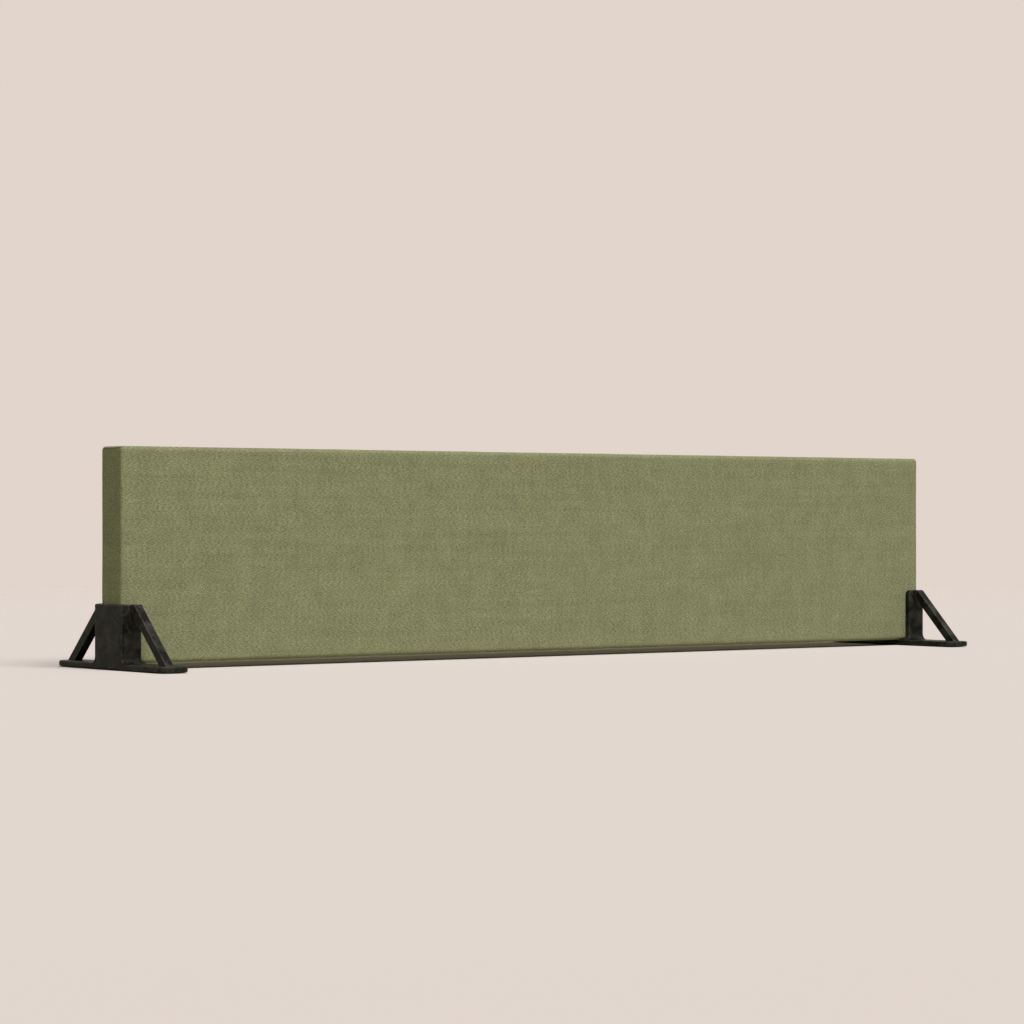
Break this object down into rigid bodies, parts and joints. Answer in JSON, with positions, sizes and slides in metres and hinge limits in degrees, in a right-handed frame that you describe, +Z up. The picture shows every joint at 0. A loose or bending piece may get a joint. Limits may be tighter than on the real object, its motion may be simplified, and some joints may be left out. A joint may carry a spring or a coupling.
{
  "type": "desk screen",
  "caption": "Long low fabric-wrapped acoustic desk screen standing on a mirrored pair of braced black feet that clasp its lower ends.",
  "frame": {"origin": "on the desk top, under the middle of the panel", "axes": "+X along the panel's length, -Y towards the front face, +Z up"},
  "size_m": [1.4106, 0.266, 0.2835],
  "materials": {
    "foot_moulding": "satin black, faintly mottled",
    "foot_pad": "matt",
    "screw_steel": "zinc plated",
    "insert_brass": "plain",
    "frame_wood": "planed softwood",
    "dowel_wood": "beech",
    "core_wool": "compressed fibre",
    "foam_sheet": "open cell foam",
    "cover_cloth": "fine mottled sage green weave",
    "strip_cloth": "black tape",
    "staple_steel": "galvanised"
  },
  "bodies": {
    "root": {"left_foot": "foot_moulding", "right_foot": "foot_moulding", "left_foot_pads": "foot_pad", "right_foot_pads": "foot_pad", "left_foot_screws": "screw_steel", "right_foot_screws": "screw_steel", "left_foot_inserts": "insert_brass", "right_foot_inserts": "insert_brass", "top_rail": "frame_wood", "bottom_rail": "frame_wood", "left_stile": "frame_wood", "centre_stile": "frame_wood", "right_stile": "frame_wood", "frame_dowels": "dowel_wood", "core_left": "core_wool", "core_right": "core_wool", "front_foam": "foam_sheet", "back_foam": "foam_sheet", "fabric_cover": "cover_cloth", "bottom_strip": "strip_cloth", "cover_staples": "staple_steel"}
  },
  "joints": []
}
